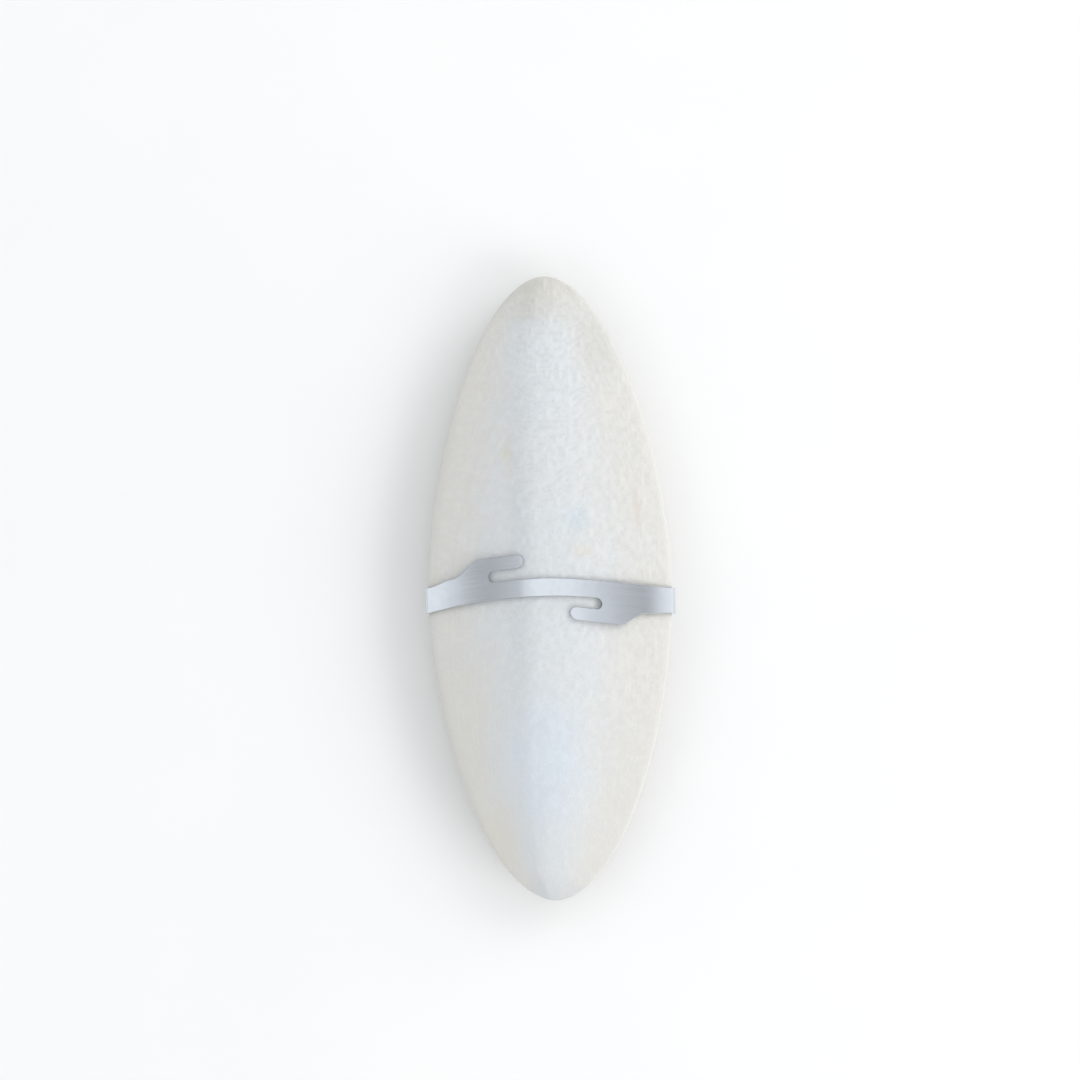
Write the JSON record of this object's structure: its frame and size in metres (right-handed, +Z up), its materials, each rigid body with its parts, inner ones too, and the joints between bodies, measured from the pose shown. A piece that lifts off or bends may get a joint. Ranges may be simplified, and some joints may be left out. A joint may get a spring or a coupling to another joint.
{
  "type": "cuttlebone with cage clip",
  "caption": "Whole cuttlebone, a pointed oval with a low ridged back and a bulging belly, held by a stamped steel clip whose hook tabs grip a bird cage's bars.",
  "frame": {"origin": "on the surface that the belly rests on, under the middle of the bone's length and width", "axes": "+Y along the bone towards its narrow head, +Z up out of its back, +X across it, to the right as seen from above with the head away from the viewer"},
  "size_m": [0.0638, 0.16, 0.0185],
  "materials": {
    "bone": "matte",
    "clip_steel": "satin"
  },
  "bodies": {
    "root": {"cuttlebone": "bone", "cage_clip": "clip_steel"}
  },
  "joints": []
}
